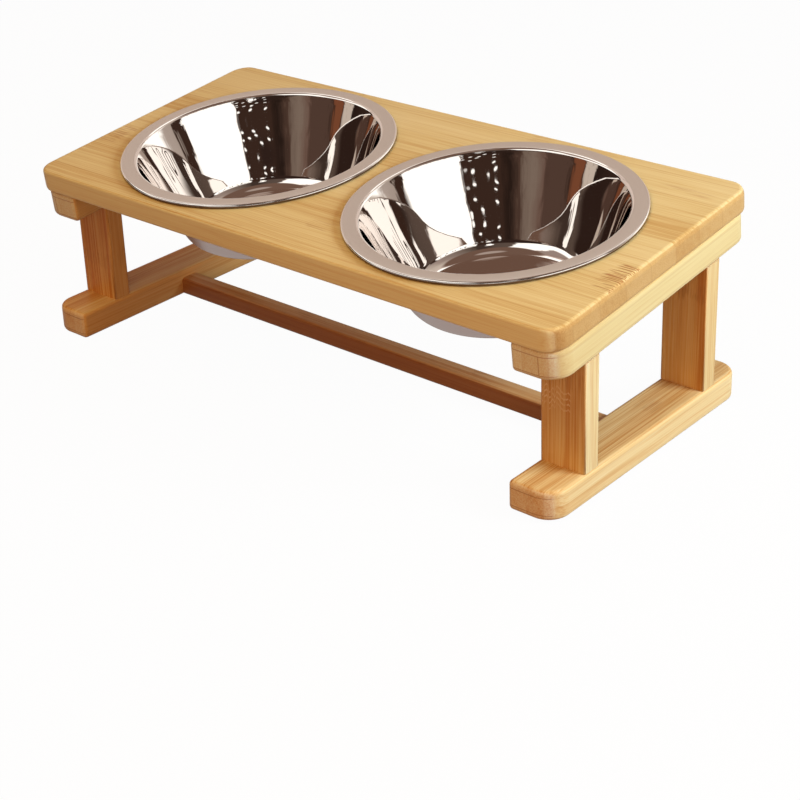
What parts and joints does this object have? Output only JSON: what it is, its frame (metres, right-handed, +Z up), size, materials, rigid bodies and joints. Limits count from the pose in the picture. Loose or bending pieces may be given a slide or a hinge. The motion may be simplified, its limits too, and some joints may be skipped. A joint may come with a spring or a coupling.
{
  "type": "elevated pet feeder",
  "caption": "Low bamboo pet feeder: a sloped board on legs and foot rails, joined by a stretcher, with drop-in flanged steel bowls that lift out.",
  "frame": {"origin": "on the floor, midway between the two feet and the two ends", "axes": "+X along the board to the right bowl, +Y to the high back edge, +Z up"},
  "size_m": [0.4, 0.188, 0.1336],
  "materials": {
    "bamboo": "satin clear lacquer over laminated bamboo",
    "stainless": "satin flange, polished inside",
    "screw_steel": "zinc plated",
    "dowel_wood": "raw turned wood",
    "pad_rubber": "matte, soft"
  },
  "bodies": {
    "stand": {"top_board": "bamboo", "top_rail_left": "bamboo", "top_rail_right": "bamboo", "leg_front_left": "bamboo", "leg_front_right": "bamboo", "leg_back_left": "bamboo", "leg_back_right": "bamboo", "foot_rail_left": "bamboo", "foot_rail_right": "bamboo", "stretcher": "bamboo", "board_screws_left": "screw_steel", "board_screws_right": "screw_steel", "foot_screws_left": "screw_steel", "foot_screws_right": "screw_steel", "leg_dowels_left": "dowel_wood", "leg_dowels_right": "dowel_wood", "stretcher_dowels": "dowel_wood", "foot_pads": "pad_rubber"},
    "left_bowl": {"bowl_left": "stainless"},
    "right_bowl": {"bowl_right": "stainless"}
  },
  "joints": [
    {"name": "left_bowl_lift", "type": "slide", "parent": "stand", "child": "left_bowl", "axis": [0, -0.1045, 0.9945], "range_m": [0, 0.07]},
    {"name": "right_bowl_lift", "type": "slide", "parent": "stand", "child": "right_bowl", "axis": [0, -0.1045, 0.9945], "range_m": [0, 0.07]}
  ]
}
